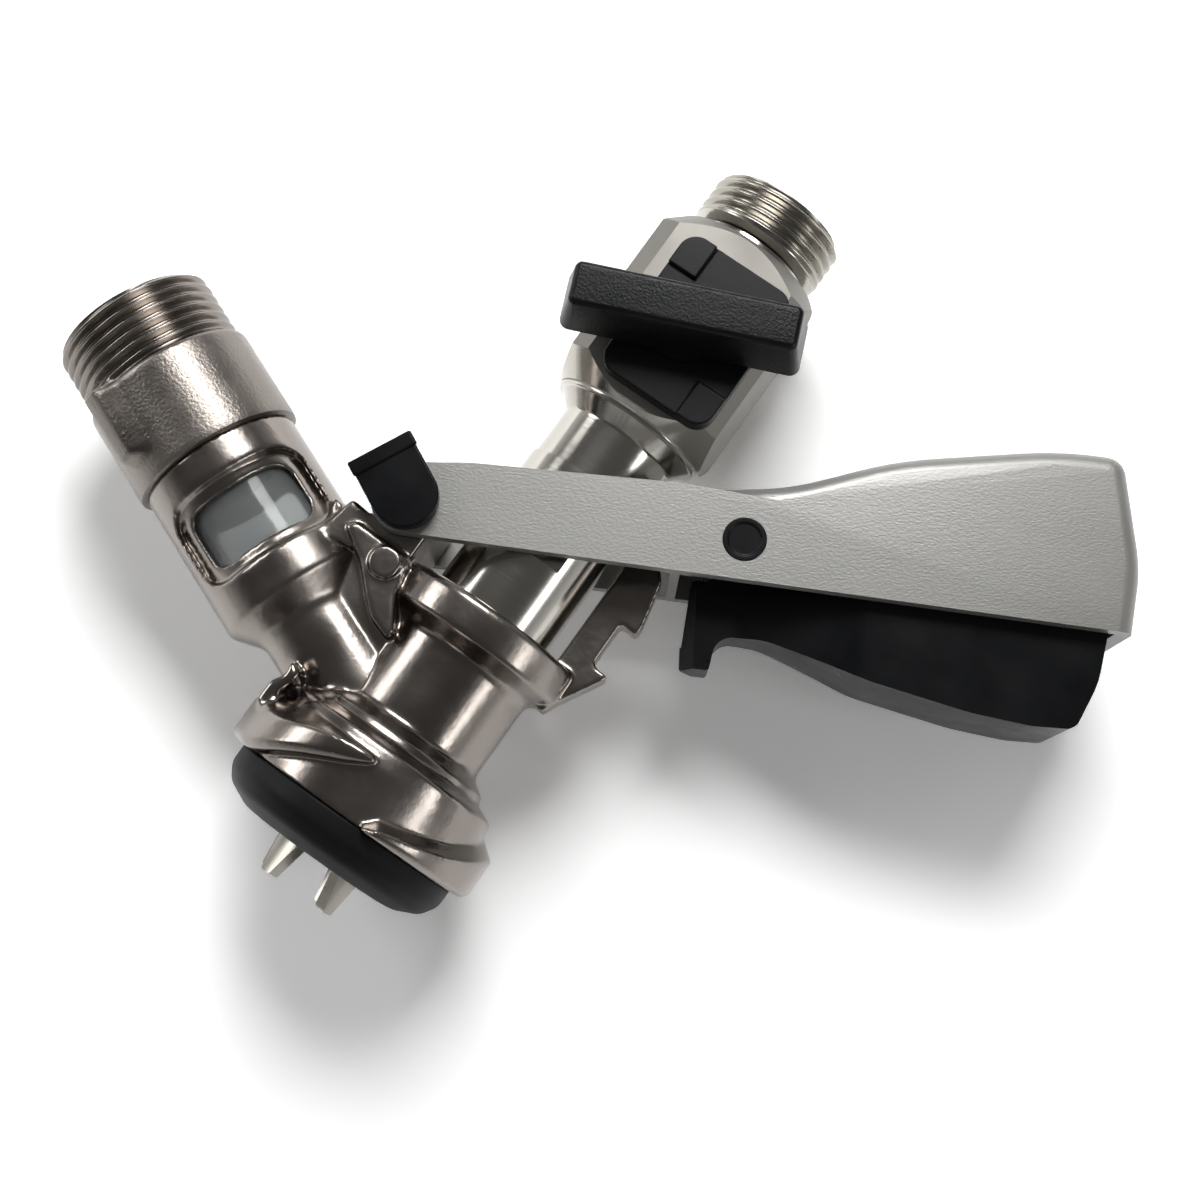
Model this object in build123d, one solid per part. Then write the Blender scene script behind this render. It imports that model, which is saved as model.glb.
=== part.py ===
from build123d import *
import os
from math import cos, radians, sin, sqrt, tan

# Keg coupler. Lengths in millimetres, angles in degrees.
# The origin is on the probe's axis, one seal height below the base's lower metal face.
# +Z points up the probe to the beer outlet, +X to the lever's grip, -Y to the valve handle.

# Clearances
slide_gap = 0.15
hinge_gap = 0.05
side_gap = 0.3
fit_gap = 0.1

# Base seal
seal_overhang = 0.2
seal_height = 9.0
seal_bore = 10.0
seal_face_z = 1.7
seal_face_radius = 13.7
seal_edge_z = 6.0
seal_tongue_inner = 12.4
seal_tongue_outer = 17.0
seal_tongue_height = 2.4

# Bayonet base and barrel of the body
base_radius = 19.0
base_height = 8.9
base_shoulder = 2.7
base_slope = 0.45
step_width = 3.6
step_rise = 1.3
step_height = 2.6
barrel_radius = 12.4
barrel_top = 38.4
collar_radius = 16.3
collar_height = 5.6
collar_flare = 2.4
probe_radius = 10.2
wiper_depth = 1.8
wiper_radius = 11.7

# Bayonet lugs. Each station has an angle after the lug's start, and heights over the
# base's lower face: the underside, the top at the rim and the top at the base. The last
# number says how far the rim lies inside the lug's full reach.
lug_reach = 2.95
lug_root = 1.5
lug_start = -70.0
lug_count = 2
lug_edge = 1.0
lug_nose = (
    (-5, 0, 0.3, 0.9, 1.45),
    (0, 0, 1.2, 2.6, 0),
)
lug_run = (
    (0, 0, 1.2, 2.6, 0),
    (12, 0, 2.2, 3.6, 0),
    (30, 0, 3.6, 5.1, 0),
    (48, 0, 5.5, 6.9, 0),
    (65, 0, 6.9, 8.6, 0),
    (85, 0, 6.9, 9.6, 0),
    (105, 0, 6.5, 10.0, 0),
)
lug_ramp = (
    (105, 0, 6.5, 10.0, 0),
    (121, 1.5, 6.4, 10.2, 0),
    (139, 4.3, 8.2, 9.9, 0.15),
    (150, 6.0, 9.2, 9.7, 0.45),
    (164, 8.8, 9.3, 9.5, 1.15),
)

# Gas branch, which leans to -X
branch_angle = 67.8
branch_z = 22.1
neck_radius = 9.4
neck_end = 24.0
housing_radius = 13.0
housing_start = 28.2
housing_end = 53.5
glass_chamber_radius = 10.5
glass_chamber_start = 30.8
gas_passage_radius = 3.5
gas_passage_start = 6.0
window_centre = 41.0
window_length = 9.6
window_width = 17.2
window_corner = 2.4
frame_length = 14.0
frame_width = 22.4
frame_corner = 3.6
frame_depth = 1.3

# Sight glass
glass_wall = 1.9
glass_length = 16.0
glass_seal_thickness = 2.2

# Gas inlet union
gas_thread_radius = 13.22
gas_thread_length = 11.6
union_radius = 13.9
union_length = 16.3
union_round = 0.6
union_spigot_gap = 0.05
union_bore = 8.0
union_rib_count = 2
union_rib_width = 3.4
union_rib_proud = 1.0
union_rib_length = 13.4
valve_pocket_radius = 9.6
valve_pocket_depth = 9.0
valve_flange_thickness = 1.6
valve_lip_length = 12.5
valve_lip_wall = 1.0
union_seal_section = 1.3
thread_chamfer = 0.9

# Hinge
pivot_x = -19.3
pivot_z = 52.8
hinge_pin_radius = 2.5
ear_radius = 5.4
plate_inside = 10.6
plate_thickness = 2.8
plate_end_radius = 5.3
web_half = 8.0
ridge_half = 11.8
boss_x = -16.3
boss_z = 43.1
boss_radius = 2.5
boss_height = 0.9

# Hinge clip
clip_radius = 5.1
clip_reach = 8.5
clip_band = 2.5
clip_thickness = 2.4
clip_tilt = 154.0
clip_chamfer = 2.0
clip_pin_depth = 1.5
clip_nub_width = 3.0
clip_nub_height = 0.7

# Ratchet arm
arm_half = 3.0
arm_inside = 12.5
tooth_radius = 40.0
tooth_depth = 3.3
arm_top = 67.6
notch_top = 57.2
notch_bottom = 49.8
lower_tooth_tip = 48.4
tab_near = 3.0
tab_far = 11.8

# Lever: its own frame starts at the hinge, with s along the grip and t across it
lever_angle = 27.0
lever_drop = 5.3
fork_top = 6.9
fork_length = 40.9
fork_end_top = 8.1
fork_run_out_top = 7.4
cross_wall = 1.5
grip_length = 110.4
grip_top = 21.6
grip_wall = 2.4
grip_round = 2.6
grip_corner = 3.2
grip_corner_width = 3.6
grip_bulge = 0.4

# Back of the grip: length and rise from the fork's end, and the bend, as drawn for a grip
# of the length and rise given here. The curve stretches with the grip.
grip_drawn_length = 69.5
grip_drawn_rise = 13.5
grip_crest = 13.4
grip_crest_bend = 60.0
grip_curve = (
    (31.6, 8.4, 60.0),
    (16.6, 2.1, 40.0),
    (7.1, 0.4, 20.0),
)
fork_run_out = 16.1
stud_s = 20.5
stud_t = -2.5
stud_radius = 2.6
flat_half = 8.6
stud_gap = 0.2
stud_reach = 0.3

# Trigger pin
trigger_offset = 10.4
trigger_t = 0.8
trigger_pin_radius = 2.0
trigger_head_radius = 3.3
trigger_head_thickness = 1.4
head_proud = 0.2

# Trigger
hub_radius = 3.6
trigger_wall = 2.2
leg_offset = 2.2
leg_foot = -18.4
leg_foot_width = 4.45
leg_lean = 1.25
leg_top = -4.7
leg_wall = 2.6
leg_half = 4.4
leg_nose = 2.1
leg_crook_t = -12.8
rear_gap = 0.8
trigger_rim = 3.2

# Belly of the trigger: distance from the leg, height and bend, as drawn for a trigger of
# the length given here. The curve stretches with the trigger.
trigger_drawn_length = 64.1
belly_curve = (
    (13.4, -12.7, 12.0),
    (22.9, -15.4),
    (28.9, -17.3, 30.0),
    (44.9, -20.0, 40.0),
    (53.9, -20.7, 12.0),
    (60.5, -20.3, 2.2),
    (63.3, -12.9, 15.0),
)
belly_rim = 5.7
flank_start = 8.9
flank_end = 26.9
slot_half = 3.2
spring_pocket_inner = 4.6
spring_pocket_outer = 8.1

# Latch bolt
bolt_proud = 0.55
bolt_length = 5.2
bolt_low = -2.9
bolt_height = 3.8
bolt_half = 2.4
bolt_pin_t = -10.9
bolt_pin_radius = 0.9
bolt_pin_half = 2.9
bolt_column_half = 1.1

# Trigger spring
wire_radius = 0.45
coil_turns = 2.5

# Probe
probe_top = 72.0
probe_nose_radius = 8.0
probe_bore = 5.2
probe_waist_bottom = 34.5
probe_waist_top = 37.2
prong_count = 4
prong_turn = 56.0
prong_drop = 4.2
prong_root = 1.6
prong_root_width = 4.4
prong_tip_width = 2.0
prong_inner = 6.0
spigot_radius = 7.0
spigot_length = 8.0
ring_groove_depth = 1.85
ring_groove_width = 2.3
ring_section = 0.95
lower_ring_z = 40.6
ring_pitch = 3.9
nose_ring_z = 4.6
nose_ring_width = 2.6
nose_ring_depth = 0.9
nose_ring_proud = 0.9

# Ball valve
valve_half = 13.4
valve_corner = 3.0
valve_neck_radius = 9.75
valve_neck_length = 8.6
valve_rise = 26.2
valve_crown_rise = 18.7
valve_crown_radius = 12.6
ball_radius = 9.2
ball_bore = 5.0
chamber_radius = 10.6
seat_near = 3.8
seat_far = 9.8
stem_radius = 3.6
stem_head_radius = 5.4
stem_head_thickness = 1.0
tang_width = 3.0
tang_height = 6.4
tang_depth = 1.6
square_side = 4.8
stem_ring_width = 1.1
stem_ring_section = 1.4

# Outlet nipple
outlet_length = 10.2
outlet_thread_radius = 11.455
outlet_thread_length = 7.6
outlet_neck_radius = 9.8
outlet_mouth_radius = 8.0
outlet_mouth_depth = 5.0
outlet_ring_width = 1.6
outlet_ring_depth = 1.0

# Stop plate and valve handle
stop_width = 19.6
stop_length = 25.4
stop_thickness = 3.0
stop_corner = 3.0
stop_shift_x = 2.1
stop_shift_z = 0.5
stop_block_width = 5.0
stop_block_length = 6.2
stop_block_height = 0.8
handle_angle = 22.6
handle_gap = 0.25
handle_hub_radius = 5.8
bar_length = 37.0
bar_width = 9.4
bar_depth = 9.2
bar_draft = 8.5
bar_corner = 1.6
bar_edge = 0.9

# Share of the room beside a corner that its rounding may take
round_share = 0.99

# Places worked out from the sizes above
seal_radius = base_radius + seal_overhang
lug_radius = base_radius + lug_reach
step_radius = base_radius - step_width
valve_z = probe_top + valve_rise
valve_top = valve_z + valve_crown_rise
valve_neck_top = probe_top + valve_neck_length
outlet_top = valve_top + outlet_length
bolt_tip = fork_length - bolt_proud
trigger_s = fork_length + trigger_offset
leg_left = fork_length + leg_offset
trigger_end = grip_length - grip_wall - rear_gap
grip_stretch = (grip_length - fork_length) / grip_drawn_length
trigger_stretch = (trigger_end - leg_left) / trigger_drawn_length
bore_radius = probe_radius + slide_gap
base_top = seal_height + base_height + base_shoulder
collar_top = barrel_top + collar_height + collar_flare
plate_outside = plate_inside + plate_thickness
ear_half = plate_inside - side_gap
clip_inside = plate_outside + side_gap
clip_outside = clip_inside + clip_thickness
leg_wall_back = leg_left + leg_lean * 0.5 + leg_wall
union_end = housing_end + union_length
gas_rim = union_end + gas_thread_length
glass_bottom = glass_chamber_start + glass_seal_thickness
spigot_end = glass_bottom + glass_length + glass_seal_thickness
stop_face = valve_half + stop_thickness
handle_back = stop_face + stop_block_height + handle_gap

# Frames: the branch's axis is its Z, the lever's frame has s and t in the XZ plane
branch = Plane(
    origin=(0, 0, branch_z),
    x_dir=(cos(radians(branch_angle)), 0, sin(radians(branch_angle))),
    z_dir=(-sin(radians(branch_angle)), 0, cos(radians(branch_angle))),
)
lever_frame = Plane(
    origin=(pivot_x, 0, pivot_z),
    x_dir=(cos(radians(lever_angle)), 0, sin(radians(lever_angle))),
    z_dir=(0, -1, 0),
)
clip_frame = Plane(
    origin=(pivot_x, 0, pivot_z),
    x_dir=(cos(radians(clip_tilt)), 0, sin(radians(clip_tilt))),
    z_dir=(0, -1, 0),
)
handle_frame = Plane(
    origin=(0, 0, valve_z),
    x_dir=(cos(radians(handle_angle)), 0, sin(radians(handle_angle))),
    z_dir=(0, -1, 0),
)


def outline(*corners):
    """Closed face through the corners. A third number rounds that corner as far as fits."""
    points = [Vector(*corner[:2]) for corner in corners]
    face = make_face(Polyline(*points, close=True))
    taken = [0.0] * len(points)
    for place, corner in enumerate(corners):
        if len(corner) < 3:
            continue
        after = (place + 1) % len(points)
        to_last = points[place - 1] - points[place]
        to_next = points[after] - points[place]
        opening = tan(radians(to_last.get_angle(to_next) / 2))
        room = min(to_last.length - taken[place - 1], to_next.length - taken[after])
        radius = min(corner[2], round_share * room * opening)
        taken[place] = radius / opening
        vertex = face.vertices().sort_by_distance(points[place])[0]
        face = fillet(vertex, radius)
    return face


def turned(*corners, frame=Plane.XY):
    """Solid of revolution about the frame's Z, from corners of radius and height."""
    section = Plane.XZ * outline(*corners)
    return frame.location * revolve(section, Axis.Z)


def tube(outer, inner, low, high, frame=Plane.XY):
    """Plain ring or tube about the frame's Z."""
    return turned((inner, low), (outer, low), (outer, high), (inner, high), frame=frame)


def rod(radius, low, high, frame=Plane.XY):
    """Plain round bar along the frame's Z."""
    return turned((0, low), (radius, low), (radius, high), (0, high), frame=frame)


def slab(face, half, frame=Plane.XZ):
    """Plate of an outline, the same depth on both sides of the middle plane."""
    return extrude(frame * face, amount=half, both=True)


def layer(face, near, far, frame=Plane.XZ):
    """Plate of an outline between two depths in front of the middle plane."""
    return extrude(frame.offset(near) * face, amount=far - near)


def crossbar(radius, half, x=0, y=0, frame=Plane.XZ):
    """Round bar across the middle plane at one place of a frame."""
    return slab(Pos(x, y) * Circle(radius), half, frame)


# Body
def lug_section(angle, low, rim_top, inner_top, drawn_in):
    """Cross-section of a lug at one angle. Its top slopes down from the base to the rim."""
    reach = lug_radius - drawn_in
    root = base_radius - lug_root
    slope = (inner_top - rim_top) / (reach - base_radius)
    edge = min(lug_edge, 0.4 * (rim_top - low))
    face = Plane.XZ * outline(
        (root, seal_height + low),
        (reach - edge, seal_height + low),
        (reach, seal_height + low + edge),
        (reach, seal_height + rim_top),
        (root, seal_height + inner_top + slope * (base_radius - root)),
    )
    return Rot(0, 0, angle) * face


def bayonet_lug():
    """One lug: a low nose, a run along the base, and a ramp that climbs and thins out."""
    lug = loft([lug_section(*station) for station in lug_nose])
    lug += loft([lug_section(*station) for station in lug_run])
    return lug + loft([lug_section(*station) for station in lug_ramp])


def base_and_barrel():
    """Bayonet base, barrel and upper collar, turned about the probe's axis."""
    shoulder = seal_height + base_height
    step_top = base_top + step_height
    body = turned(
        (0, seal_height),
        (base_radius, seal_height),
        (base_radius, shoulder, 0.5),
        (base_radius - base_slope, base_top, 0.8),
        (step_radius, base_top + step_rise, 0.5),
        (step_radius - 0.3, step_top, 1.0),
        (barrel_radius, step_top + 1.8, 1.5),
        (barrel_radius, barrel_top, 2.0),
        (collar_radius, barrel_top + collar_flare, 1.0),
        (collar_radius, collar_top, 1.2),
        (0, collar_top),
    )
    for number in range(lug_count):
        start = lug_start + number * 360 / lug_count
        body += Rot(0, 0, start) * bayonet_lug()
    return body


def gas_branch():
    """Slanted gas branch: a neck that opens into the sight glass housing."""
    return turned(
        (0, 0),
        (neck_radius, 0),
        (neck_radius, neck_end, 3.0),
        (housing_radius, housing_start, 1.0),
        (housing_radius, housing_end),
        (0, housing_end),
        frame=branch,
    )


def branch_point(s, r):
    """Place in the XZ plane from a distance along the branch and across it."""
    angle = radians(branch_angle)
    x = -s * sin(angle) + r * cos(angle)
    z = branch_z + s * cos(angle) + r * sin(angle)
    return x, z


def web_and_ear():
    """Web between barrel, branch and hinge, and the ear that holds the hinge pin."""
    web = slab(
        outline(
            (0, branch_z + 6),
            (0, collar_top - 1.5),
            (-barrel_radius, collar_top - 0.6, 2.0),
            (pivot_x, collar_top - 0.6, 2.0),
            branch_point(37.0, housing_radius - 0.6),
            branch_point(29.0, 0),
            branch_point(12.0, 0),
        ),
        web_half,
    )
    ridge = slab(
        outline(
            (-24.7, 44.4),
            (-19.8, 41.3),
            (-16.0, 37.5),
            (-13.2, 35.2),
            (-9.6, 34.0, 0.6),
            (-9.0, 35.2, 0.6),
            (-12.2, 40.2),
            (-13.1, 43.8),
            (-13.1, collar_top - 0.6, 1.5),
            (-23.6, collar_top - 0.6, 1.5),
        ),
        ridge_half,
    )
    tilt = radians(clip_tilt)
    side = ear_radius
    ear = crossbar(ear_radius, ear_half, pivot_x, pivot_z) + slab(
        outline(
            (pivot_x + side, pivot_z),
            (pivot_x + side, collar_top - 3),
            (pivot_x - 1.6 * side, collar_top - 5),
            (pivot_x + 1.05 * side * cos(tilt) - side * sin(tilt),
             pivot_z - side + 0.5 * side * sin(tilt)),
            (pivot_x - side * sin(tilt), pivot_z + side * cos(tilt)),
            (pivot_x, pivot_z),
        ),
        ear_half,
    )
    boss = layer(Pos(boss_x, boss_z) * Circle(boss_radius), ridge_half - 1,
                 ridge_half + boss_height)
    return web + ridge + ear + boss


def ratchet_arm():
    """Flat arm beside the probe, with two teeth for the latch bolt."""
    reach = tooth_radius + pivot_x
    root = reach - tooth_depth
    return slab(
        outline(
            (arm_inside - 3.5, collar_top - 6.5),
            (arm_inside - 3.5, collar_top - 0.8),
            (arm_inside, collar_top - 0.8, 1.5),
            (arm_inside, arm_top - 0.8, 0.8),
            (arm_inside + 0.8, arm_top),
            (reach - 3.2, arm_top, 1.0),
            (reach - 1.9, arm_top - 1.6),
            (reach - 0.3, notch_top + 1.2, 0.5),
            (reach - 0.5, notch_top - 0.3, 0.3),
            (root, notch_top, 0.6),
            (root, notch_bottom, 0.6),
            (root + 0.8, notch_bottom - 0.5),
            (reach - 0.4, notch_bottom - 0.6, 0.3),
            (reach - 0.5, lower_tooth_tip, 0.4),
            (root - 1.1, collar_top - 4.8, 1.0),
            (root - 2.2, collar_top - 7.4),
        ),
        arm_half,
    )


def hourglass_tab():
    """Small cast post with hollow sides, between the left bayonet lug and the neck."""
    face = outline(
        (-20.0, 15.2),
        (-20.0, 19.0, 0.4),
        (-18.7, 20.8, 0.8),
        (-19.2, 23.4),
        (-16.8, 22.6, 0.4),
        (-16.5, 21.2, 0.4),
        (-17.5, 19.2, 0.8),
        (-17.4, 15.2),
    )
    return layer(face, tab_near, tab_far)


def coupler_body():
    """Forged body: base, barrel, branch, web, ear and arm, with its bores."""
    body = base_and_barrel() + gas_branch() + web_and_ear() + ratchet_arm() + hourglass_tab()
    body -= rod(bore_radius, 0, collar_top + 1)
    body -= rod(wiper_radius, collar_top - wiper_depth, collar_top + 1)
    body -= tube(seal_tongue_outer, seal_tongue_inner, seal_height,
                 seal_height + seal_tongue_height)
    body -= rod(glass_chamber_radius, glass_chamber_start, housing_end + 1, branch)
    body -= rod(gas_passage_radius, gas_passage_start, glass_chamber_start + 1, branch)
    body -= tube(glass_chamber_radius + union_seal_section, glass_chamber_radius,
                 housing_end - union_seal_section, housing_end + 1, branch)
    body -= crossbar(hinge_pin_radius, ear_half + 1, pivot_x, pivot_z)
    side = Plane(branch.origin, x_dir=branch.z_dir, z_dir=(0, -1, 0))
    window = Pos(window_centre, 0) * RectangleRounded(window_length, window_width, window_corner)
    body -= slab(window, housing_radius + 1, side)
    frame = Pos(window_centre, 0) * RectangleRounded(frame_length, frame_width, frame_corner)
    rim = tube(housing_radius + 2, housing_radius - frame_depth, housing_start, housing_end, branch)
    for face in (1, -1):
        pocket = layer(frame, 2, housing_radius + 2, side) if face > 0 else \
            layer(frame, -housing_radius - 2, -2, side)
        body -= pocket & rim
    return body


def base_seal():
    """Black rubber ring that seals on the keg neck, with a tongue in the base."""
    return turned(
        (seal_bore, seal_face_z + 1.0),
        (seal_bore + 1.0, seal_face_z, 0.4),
        (seal_face_radius, seal_face_z, 1.2),
        (seal_radius - 1.6, seal_face_z + 1.8, 1.5),
        (seal_radius, seal_edge_z, 1.5),
        (seal_radius, seal_height),
        (seal_tongue_outer, seal_height),
        (seal_tongue_outer, seal_height + seal_tongue_height),
        (seal_tongue_inner, seal_height + seal_tongue_height),
        (seal_tongue_inner, seal_height),
        (seal_bore, seal_height),
    )


# Gas side
def sight_glass():
    """Clear tube inside the housing, behind its two windows."""
    outer = glass_chamber_radius - fit_gap
    return tube(outer, outer - glass_wall, glass_bottom, glass_bottom + glass_length, branch)


def sight_glass_seals():
    """Two square-section rings, one at each end of the glass."""
    outer = glass_chamber_radius - fit_gap
    inner = outer - glass_wall
    lower = tube(outer, inner, glass_chamber_start, glass_bottom, branch)
    upper = tube(outer, inner, glass_bottom + glass_length, spigot_end, branch)
    return Compound(children=[lower, upper])


def gas_inlet_union():
    """Cast union with the gas thread, screwed into the housing."""
    spigot = glass_chamber_radius - union_spigot_gap
    union = turned(
        (union_bore, spigot_end),
        (spigot, spigot_end),
        (spigot, housing_end),
        (union_radius, housing_end, union_round),
        (union_radius, union_end, union_round),
        (gas_thread_radius, union_end),
        (gas_thread_radius, gas_rim - thread_chamfer),
        (gas_thread_radius - thread_chamfer, gas_rim),
        (valve_pocket_radius, gas_rim),
        (valve_pocket_radius, gas_rim - valve_pocket_depth),
        (union_bore, gas_rim - valve_pocket_depth),
        frame=branch,
    )
    middle = (housing_end + union_end) / 2
    reach = union_radius + union_rib_proud
    root = valve_pocket_radius + 1
    rib = Box(reach - root, union_rib_width, union_rib_length)
    rib = fillet(rib.edges().filter_by(Axis.X), 0.8)
    rib = fillet(rib.edges().group_by(Axis.X)[-1], 0.5)
    for number in range(union_rib_count):
        turn = -125 + number * 360 / union_rib_count
        place = Pos((reach + root) / 2, 0, middle)
        union += branch.location * Rot(0, 0, turn) * place * rib
    return union


def union_seal():
    """Flat ring under the union's shoulder."""
    return tube(glass_chamber_radius + union_seal_section - fit_gap, glass_chamber_radius,
                housing_end - union_seal_section, housing_end, branch)


def gas_check_valve():
    """Rubber duckbill valve: a flange, and a tube that ends in two flat lips."""
    seat = gas_rim - valve_pocket_depth
    outer = union_bore - fit_gap
    tip = seat - valve_lip_length
    neck = seat - 4.0
    body = tube(valve_pocket_radius - fit_gap, outer - valve_lip_wall, seat,
                seat + valve_flange_thickness, branch)
    body += tube(outer, outer - valve_lip_wall, neck, seat, branch)
    lip = 2 * (outer - 2.0)
    round_end = branch.offset(neck) * Circle(outer)
    flat_end = branch.offset(tip) * Rectangle(lip, 2 * valve_lip_wall)
    hollow_start = branch.offset(neck) * Circle(outer - valve_lip_wall)
    hollow_end = branch.offset(tip + 1.0) * Rectangle(lip - 1.6, 0.4)
    return body + (loft([round_end, flat_end]) - loft([hollow_start, hollow_end]))


# Hinge
def hinge_pin():
    """Steel pin through the body's ear and the lever's two plates."""
    return crossbar(hinge_pin_radius, clip_inside + clip_pin_depth, pivot_x, pivot_z)


def hinge_clip():
    """Black U-shaped clip over the hinge. Its cheeks cover both pin ends."""
    reach = clip_reach
    cheek = Circle(clip_radius) + Pos(reach / 2, 0) * Rectangle(reach, 2 * clip_radius)
    clip = slab(cheek, clip_outside, clip_frame)
    top_edges = clip.edges().filter_by(lambda edge: edge.length > 2 * clip_radius - 0.1)
    ends = [edge for edge in top_edges if abs(abs(edge.center().Y) - clip_outside) < 0.01]
    ends = [edge for edge in ends
            if clip_frame.to_local_coords(edge.center()).X > reach - 0.1]
    clip = chamfer(ShapeList(ends), clip_chamfer)
    hollow = Pos(0, 0) * Rectangle(2 * (reach - clip_band), 4 * clip_radius)
    clip -= slab(hollow, clip_inside, clip_frame)
    clip -= crossbar(hinge_pin_radius, clip_inside + clip_pin_depth, pivot_x, pivot_z)
    nub = Pos(reach + clip_nub_height / 2 - 0.2, 0) * Rectangle(
        clip_nub_height + 0.4, clip_nub_width)
    return clip + slab(nub, clip_nub_width / 2, clip_frame)


# Lever
def fork_face():
    """Side view of the fork's plates, which run on into the grip's flanks."""
    low = -lever_drop
    run_out = fork_length + fork_run_out * grip_stretch
    return make_face([
        Line((0, low), (run_out, low)),
        Line((run_out, low), (run_out, fork_run_out_top)),
        Line((run_out, fork_run_out_top), (fork_length, fork_end_top)),
        Line((fork_length, fork_end_top), (10.0, fork_top - 0.1)),
        Spline((10.0, fork_top - 0.1), (4.0, 6.1), (-2.4, 4.6), (-plate_end_radius, 0.4),
               (0, low), tangents=((-1, -0.03), (1, 0))),
    ])


def grip_face(inset=0.0):
    """Side view of the hollow grip behind the fork, or the same drawn in by a wall."""
    low = -lever_drop
    end = grip_length - inset
    top = grip_top - inset
    rise = (grip_top - fork_end_top) / grip_drawn_rise
    back = [(fork_length + along * grip_stretch, fork_end_top + up * rise - inset, bend)
            for along, up, bend in grip_curve]
    return outline(
        (fork_length, low),
        (end, low),
        (end + grip_bulge, 5.0, 25.0),
        (end - grip_corner_width, top, grip_corner),
        (end - grip_crest * grip_stretch, top, grip_crest_bend),
        *back,
        (fork_length, fork_end_top - inset),
    )


def lever():
    """Cast lever: two fork plates, a cross wall and a hollow grip open below."""
    fork = slab(fork_face(), plate_outside, lever_frame)
    grip = slab(grip_face(), plate_outside, lever_frame)
    crest = [edge for edge in grip.edges()
             if abs(abs(edge.center().Y) - plate_outside) < 0.01
             and lever_frame.to_local_coords(edge.center()).Y > fork_end_top]
    grip = fillet(ShapeList(crest), grip_round)
    hollow_top = grip_wall
    hollow = slab(grip_face(hollow_top), plate_inside, lever_frame)
    skirt = slab(
        Pos((fork_length + grip_length - grip_wall) / 2, -lever_drop)
        * Rectangle(grip_length - grip_wall - fork_length, 2.0),
        plate_inside, lever_frame)
    fork_window = Pos(fork_length / 2 - 10, 0) * Rectangle(fork_length + 20, 40)
    wall = Pos(fork_length + cross_wall / 2, -lever_drop / 2 + fork_end_top / 2) * Rectangle(
        cross_wall, lever_drop + fork_end_top)
    body = fork + grip
    body -= slab(fork_window, plate_inside, lever_frame)
    body -= hollow
    body -= skirt
    body += slab(wall, plate_inside + 0.5, lever_frame)
    slot = Pos(fork_length + cross_wall / 2, bolt_low + bolt_height / 2) * Rectangle(
        cross_wall + 2, bolt_height + 2 * side_gap)
    body -= slab(slot, bolt_half + side_gap, lever_frame)
    for side in (1, -1):
        near = flat_half + stud_reach
        far = plate_inside + 1
        low, high = (near, far) if side > 0 else (-far, -near)
        body += layer(Pos(stud_s, stud_t) * Circle(stud_radius), low, high, lever_frame)
        recess = plate_outside - trigger_head_thickness + head_proud
        low, high = (recess, plate_outside + 1) if side > 0 else (-plate_outside - 1, -recess)
        body -= layer(Pos(trigger_s, trigger_t) * Circle(trigger_head_radius + hinge_gap),
                      low, high, lever_frame)
    body -= crossbar(hinge_pin_radius + hinge_gap, plate_outside + 1, 0, 0, lever_frame)
    body -= crossbar(trigger_pin_radius, plate_outside + 1, trigger_s, trigger_t, lever_frame)
    return body


def trigger_pin():
    """Pin of the trigger, with a flush round head in each side of the lever."""
    head = plate_outside + head_proud
    pin = crossbar(trigger_pin_radius, head, trigger_s, trigger_t, lever_frame)
    for low, high in ((head - trigger_head_thickness, head),
                      (-head, trigger_head_thickness - head)):
        cap = layer(Pos(trigger_s, trigger_t) * Circle(trigger_head_radius), low, high,
                    lever_frame)
        pin += cap
    return pin


# Trigger and latch
def trigger_outline():
    """Side view of the trigger: front leg, long belly and the rim inside the grip."""
    foot_left = leg_left + leg_lean
    foot_right = foot_left + leg_foot_width
    belly = [(leg_left + point[0] * trigger_stretch, *point[1:]) for point in belly_curve]
    return outline(
        (leg_left, leg_top),
        (foot_left, leg_foot, 0.5),
        (foot_right, leg_foot + 0.1, 0.6),
        (foot_right + 0.5, leg_crook_t, 3.0),
        *belly,
        (trigger_end, leg_top),
        (trigger_end - 0.6, trigger_rim, 1.0),
        (trigger_s + belly_rim, trigger_rim, 1.0),
        (trigger_s, trigger_t - hub_radius + 1.0),
        (leg_left + 3.5, leg_top),
    )


def trigger_plan(inset=0.0):
    """Width of the trigger seen from below: a pointed leg, then flanks that spread apart."""
    half = plate_inside - side_gap - inset
    narrow = leg_half - inset
    end = grip_length
    lean = Vector(leg_lean, leg_foot - leg_top).normalized()
    down = lever_frame.x_dir * lean.X + lever_frame.y_dir * lean.Y
    frame = Plane(
        origin=lever_frame.from_local_coords((leg_left, leg_top, 0)),
        x_dir=down.cross(Vector(0, 1, 0)),
        z_dir=down,
    )
    side = 1 if frame.x_dir.dot(lever_frame.x_dir) > 0 else -1
    start = flank_start * trigger_stretch
    spread = flank_end * trigger_stretch
    face = outline(
        (side * inset, 0),
        (side * (inset + leg_nose), narrow),
        (side * start, narrow, 8.0),
        (side * spread, half, 8.0),
        (side * end, half),
        (side * end, -half),
        (side * spread, -half, 8.0),
        (side * start, -narrow, 8.0),
        (side * (inset + leg_nose), -narrow),
    )
    return extrude(frame * face, amount=grip_top + 20, both=True)


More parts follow.
